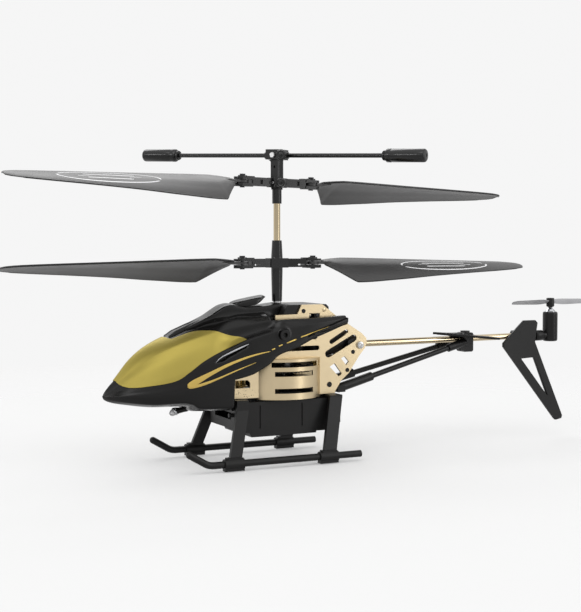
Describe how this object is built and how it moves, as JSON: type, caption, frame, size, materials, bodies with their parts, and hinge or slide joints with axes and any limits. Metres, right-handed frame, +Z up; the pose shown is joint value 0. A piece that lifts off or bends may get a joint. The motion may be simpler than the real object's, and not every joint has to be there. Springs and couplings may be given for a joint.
{
  "type": "remote control helicopter",
  "caption": "Palm-sized coaxial toy helicopter: contra-rotating folding blades, flybar, metal side plates, canopy, skids and a tail boom with fin and propeller.",
  "frame": {"origin": "centre of the footprint, in the plane that the skid collars stand on; the mast axis is at X = -18.9 mm, Y = 0", "axes": "+X towards the tail, +Y to starboard, +Z up along the mast"},
  "size_m": [0.2282, 0.0904, 0.1065],
  "materials": {
    "black_gloss": "moulded, satin to gloss black",
    "windshield_gold": "metallic yellow gold paint under clear coat",
    "champagne_metal": "anodised champagne gold, fine satin",
    "black_plastic": "moulded, fine matte grain",
    "blade_plastic": "moulded, satin dark grey-black",
    "gold_tube": "polished gold tube",
    "steel": "plain bright steel",
    "brass": "plain brass",
    "gear_plastic": "natural nylon",
    "battery_wrap": "foil pouch with film",
    "board_green": "solder-masked board",
    "led_lens": "clear water-white lens",
    "wire": "thin insulated wire"
  },
  "bodies": {
    "airframe": {"canopy": "black_gloss", "windshield": "windshield_gold", "roof_scoop": "black_gloss", "canopy_pegs": "black_plastic", "left_side_plate": "champagne_metal", "right_side_plate": "champagne_metal", "frame_spacers": "black_plastic", "lower_deck": "black_plastic", "motor_mount": "black_plastic", "mast_block": "black_plastic", "mast_bushes": "brass", "front_motor": "steel", "rear_motor": "steel", "screws": "steel", "battery_box": "black_gloss", "battery_cover": "black_gloss", "battery": "battery_wrap", "power_switch_body": "black_plastic", "charge_socket": "steel", "circuit_board": "board_green", "nose_led": "led_lens", "front_left_leg": "black_plastic", "front_right_leg": "black_plastic", "rear_left_leg": "black_plastic", "rear_right_leg": "black_plastic", "left_skid": "black_plastic", "right_skid": "black_plastic", "boom_holder": "black_plastic", "tail_boom": "gold_tube", "tail_motor_leads": "wire", "strut_bracket": "black_plastic", "left_tail_strut": "black_plastic", "right_tail_strut": "black_plastic", "boom_clamp": "black_plastic", "horizontal_stabilizer": "black_plastic", "tail_fin": "black_plastic", "tail_motor_holder": "black_plastic", "tail_motor": "steel"},
    "lower_rotor": {"outer_mast": "steel", "upper_main_gear": "gear_plastic", "lower_rotor_hub": "black_plastic", "lower_blade_screws": "steel"},
    "upper_rotor": {"inner_mast": "gold_tube", "lower_main_gear": "gear_plastic", "rotor_head": "black_plastic", "teeter_pins": "steel"},
    "upper_hub": {"upper_blade_hub": "black_plastic", "upper_blade_screws": "steel"},
    "stabilizer_bar": {"flybar": "black_plastic", "flybar_weights": "steel"},
    "near_link": {"near_link": "black_plastic"},
    "far_link": {"far_link": "black_plastic"},
    "upper_nose_blade": {"upper_nose_blade": "blade_plastic"},
    "upper_tail_blade": {"upper_tail_blade": "blade_plastic"},
    "lower_nose_blade": {"lower_nose_blade": "blade_plastic"},
    "lower_tail_blade": {"lower_tail_blade": "blade_plastic"},
    "front_pinion": {"front_pinion": "brass"},
    "rear_pinion": {"rear_pinion": "brass"},
    "tail_propeller": {"tail_propeller": "blade_plastic"},
    "switch_slider": {"power_switch_slider": "black_plastic"}
  },
  "joints": [
    {"name": "lower_rotor_spin", "type": "hinge", "parent": "airframe", "child": "lower_rotor", "pos_m": [-0.0189, 0, 0.06], "axis": [0, 0, 1], "continuous": true},
    {"name": "upper_rotor_spin", "type": "hinge", "parent": "airframe", "child": "upper_rotor", "pos_m": [-0.0189, 0, 0.08], "axis": [0, 0, 1], "continuous": true},
    {"name": "front_pinion_spin", "type": "hinge", "parent": "airframe", "child": "front_pinion", "pos_m": [-0.03336, 0, 0.03], "axis": [0, 0, 1], "continuous": true},
    {"name": "rear_pinion_spin", "type": "hinge", "parent": "airframe", "child": "rear_pinion", "pos_m": [-0.00444, 0, 0.032], "axis": [0, 0, 1], "continuous": true},
    {"name": "upper_hub_teeter", "type": "hinge", "parent": "upper_rotor", "child": "upper_hub", "pos_m": [-0.0189, 0, 0.0933], "axis": [0.8151, 0.5793, 0], "range_deg": [-12, 8]},
    {"name": "flybar_teeter", "type": "hinge", "parent": "upper_rotor", "child": "stabilizer_bar", "pos_m": [-0.0189, 0, 0.1025], "axis": [0.8151, 0.5793, 0], "range_deg": [-12, 8]},
    {"name": "near_link_pivot", "type": "hinge", "parent": "stabilizer_bar", "child": "near_link", "pos_m": [-0.01963, -0.00493, 0.10237], "axis": [0.8151, 0.5793, 0], "range_deg": [-12, 12]},
    {"name": "far_link_pivot", "type": "hinge", "parent": "stabilizer_bar", "child": "far_link", "pos_m": [-0.01817, 0.00493, 0.10263], "axis": [0.8151, 0.5793, 0], "range_deg": [-12, 12]},
    {"name": "upper_nose_blade_fold", "type": "hinge", "parent": "upper_hub", "child": "upper_nose_blade", "pos_m": [-0.03206, -0.00098, 0.09354], "axis": [0.0202, -0.0284, 0.9994], "range_deg": [-80, 80]},
    {"name": "upper_tail_blade_fold", "type": "hinge", "parent": "upper_hub", "child": "upper_tail_blade", "pos_m": [-0.00572, 0.00065, 0.09305], "axis": [0.0202, -0.0284, 0.9994], "range_deg": [-80, 80]},
    {"name": "lower_nose_blade_fold", "type": "hinge", "parent": "lower_rotor", "child": "lower_nose_blade", "pos_m": [-0.03208, -0.00079, 0.0663], "axis": [0, 0, 1], "range_deg": [-80, 80]},
    {"name": "lower_tail_blade_fold", "type": "hinge", "parent": "lower_rotor", "child": "lower_tail_blade", "pos_m": [-0.00573, -0.00085, 0.0663], "axis": [0, 0, 1], "range_deg": [-80, 80]},
    {"name": "tail_propeller_spin", "type": "hinge", "parent": "airframe", "child": "tail_propeller", "pos_m": [0.0962, 0, 0.0508], "axis": [0, 0, 1], "continuous": true},
    {"name": "power_switch_slide", "type": "slide", "parent": "airframe", "child": "switch_slider", "axis": [1, 0, 0], "range_m": [0, 0.0028]}
  ],
  "couplings": [
    {"joint": "front_pinion_spin", "follows": "upper_rotor_spin", "ratio": -5},
    {"joint": "rear_pinion_spin", "follows": "lower_rotor_spin", "ratio": -5},
    {"joint": "flybar_teeter", "follows": "upper_hub_teeter", "ratio": 1},
    {"joint": "near_link_pivot", "follows": "upper_hub_teeter", "ratio": -1},
    {"joint": "far_link_pivot", "follows": "upper_hub_teeter", "ratio": -1}
  ]
}
